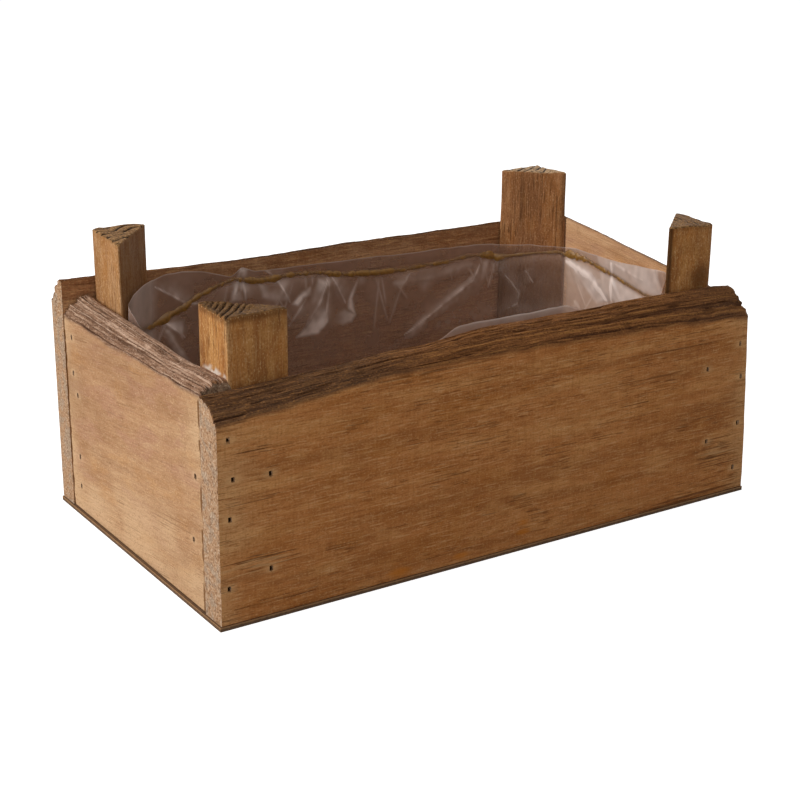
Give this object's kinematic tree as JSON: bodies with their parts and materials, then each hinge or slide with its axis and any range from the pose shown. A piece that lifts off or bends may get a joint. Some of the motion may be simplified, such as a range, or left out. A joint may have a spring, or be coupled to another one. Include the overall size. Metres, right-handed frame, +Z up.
{
  "type": "rectangular planter box",
  "caption": "Rough wooden planter box with waney top edges, three-cornered corner posts that stand above the rim, a thin base panel and a clear film liner glued round the inside.",
  "frame": {"origin": "on the ground under the middle of the box's plan", "axes": "+X along the long boards to the right, +Y from the front board to the back board, +Z up"},
  "size_m": [0.2608, 0.15, 0.1262],
  "materials": {
    "board_wood": "rough-sawn softwood with a brown stain, natural bark edge on top",
    "post_wood": "split softwood post with a brown stain, sawn top",
    "base_hardboard": "dark pressed fibre board",
    "clear_film": "clear polythene film, wrinkled",
    "amber_glue": "amber hot-melt glue, lumpy",
    "brad_steel": "dull steel brads"
  },
  "bodies": {
    "root": {"front_board": "board_wood", "back_board": "board_wood", "left_end_board": "board_wood", "right_end_board": "board_wood", "base_panel": "base_hardboard", "front_left_post": "post_wood", "front_right_post": "post_wood", "back_left_post": "post_wood", "back_right_post": "post_wood", "liner_film": "clear_film", "liner_glue_bead": "amber_glue", "front_brads": "brad_steel", "back_brads": "brad_steel", "left_end_brads": "brad_steel", "right_end_brads": "brad_steel", "base_brads": "brad_steel"}
  },
  "joints": []
}
